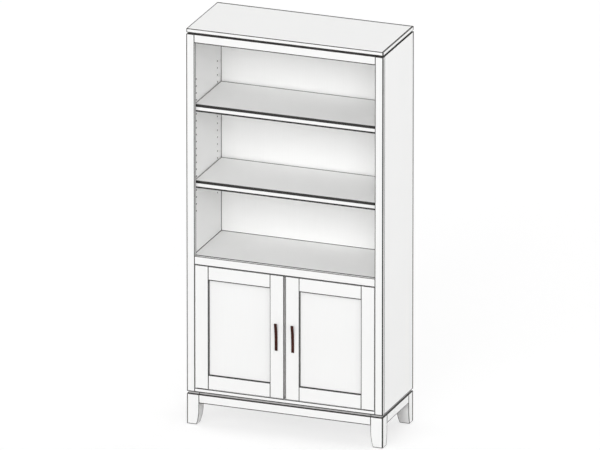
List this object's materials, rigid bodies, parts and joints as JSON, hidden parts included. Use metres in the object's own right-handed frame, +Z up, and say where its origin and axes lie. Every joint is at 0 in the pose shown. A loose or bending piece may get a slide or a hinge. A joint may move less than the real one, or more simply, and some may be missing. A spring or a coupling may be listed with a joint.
{
  "type": "bookcase with cabinet doors",
  "caption": "Tall face-framed bookcase: open bays with adjustable shelves over a cabinet with inset panelled doors, on a leg-and-apron base.",
  "frame": {"origin": "on the floor, under the middle of the whole outline, pulls included", "axes": "+Z up, +X to the right as seen from the front, +Y to the back; the doors face -Y"},
  "size_m": [0.9144, 0.3954, 1.8288],
  "materials": {
    "white_paint": "satin white paint over wood, a thin dark glaze wiped into the eased edges",
    "pulls": "dark red-brown bronze finish, satin, a little lighter on the edges",
    "steel": "nickel plated, satin",
    "hinges": "brass, darkened to match the pulls, satin",
    "bare_wood": "planed softwood, unfinished",
    "catch_housing": "moulded, matt",
    "magnet": "ferrite magnet, matt",
    "glide": "nylon, matt"
  },
  "bodies": {
    "case": {"back_apron": "white_paint", "back_left_leg": "white_paint", "back_panel": "white_paint", "back_right_leg": "white_paint", "base_screws": "steel", "bottom_nailer": "white_paint", "bottom_panel": "white_paint", "bottom_rail": "white_paint", "case_hinge_leaves": "hinges", "case_top_panel": "white_paint", "catch_block": "white_paint", "catch_magnets": "magnet", "corner_blocks": "bare_wood", "fixed_shelf": "white_paint", "foot_glides": "glide", "front_apron": "white_paint", "front_left_leg": "white_paint", "front_right_leg": "white_paint", "left_apron": "white_paint", "left_catch": "catch_housing", "left_side_panel": "white_paint", "left_stile": "white_paint", "middle_rail": "white_paint", "right_apron": "white_paint", "right_catch": "catch_housing", "right_side_panel": "white_paint", "right_stile": "white_paint", "shelf_pins": "steel", "top_board": "white_paint", "top_nailer": "white_paint", "top_rail": "white_paint", "top_screws": "steel", "top_spacer": "white_paint"},
    "upper_shelf": {"upper_shelf_board": "white_paint", "upper_shelf_nosing": "white_paint"},
    "lower_shelf": {"lower_shelf_board": "white_paint", "lower_shelf_nosing": "white_paint"},
    "cabinet_shelf": {"cabinet_shelf_board": "white_paint"},
    "left_door": {"left_door_bottom_rail": "white_paint", "left_door_hinge_stile": "white_paint", "left_door_leaves": "hinges", "left_door_meeting_stile": "white_paint", "left_door_panel": "white_paint", "left_door_top_rail": "white_paint", "left_pull": "pulls", "left_pull_screws": "steel", "left_strike_plate": "steel", "meeting_strip": "white_paint"},
    "right_door": {"right_door_bottom_rail": "white_paint", "right_door_hinge_stile": "white_paint", "right_door_leaves": "hinges", "right_door_meeting_stile": "white_paint", "right_door_panel": "white_paint", "right_door_top_rail": "white_paint", "right_pull": "pulls", "right_pull_screws": "steel", "right_strike_plate": "steel"}
  },
  "joints": [
    {"name": "left_door_hinge", "type": "hinge", "parent": "case", "child": "left_door", "pos_m": [-0.4051, -0.17729, 0.4572], "axis": [0, 0, -1], "range_deg": [0, 110]},
    {"name": "right_door_hinge", "type": "hinge", "parent": "case", "child": "right_door", "pos_m": [0.4051, -0.17729, 0.4572], "axis": [0, 0, 1], "range_deg": [0, 110]},
    {"name": "upper_shelf_lift", "type": "slide", "parent": "case", "child": "upper_shelf", "axis": [0, 0, 1], "range_m": [0, 0.032]},
    {"name": "lower_shelf_lift", "type": "slide", "parent": "case", "child": "lower_shelf", "axis": [0, 0, 1], "range_m": [0, 0.032]},
    {"name": "cabinet_shelf_lift", "type": "slide", "parent": "case", "child": "cabinet_shelf", "axis": [0, 0, 1], "range_m": [0, 0.032]}
  ]
}
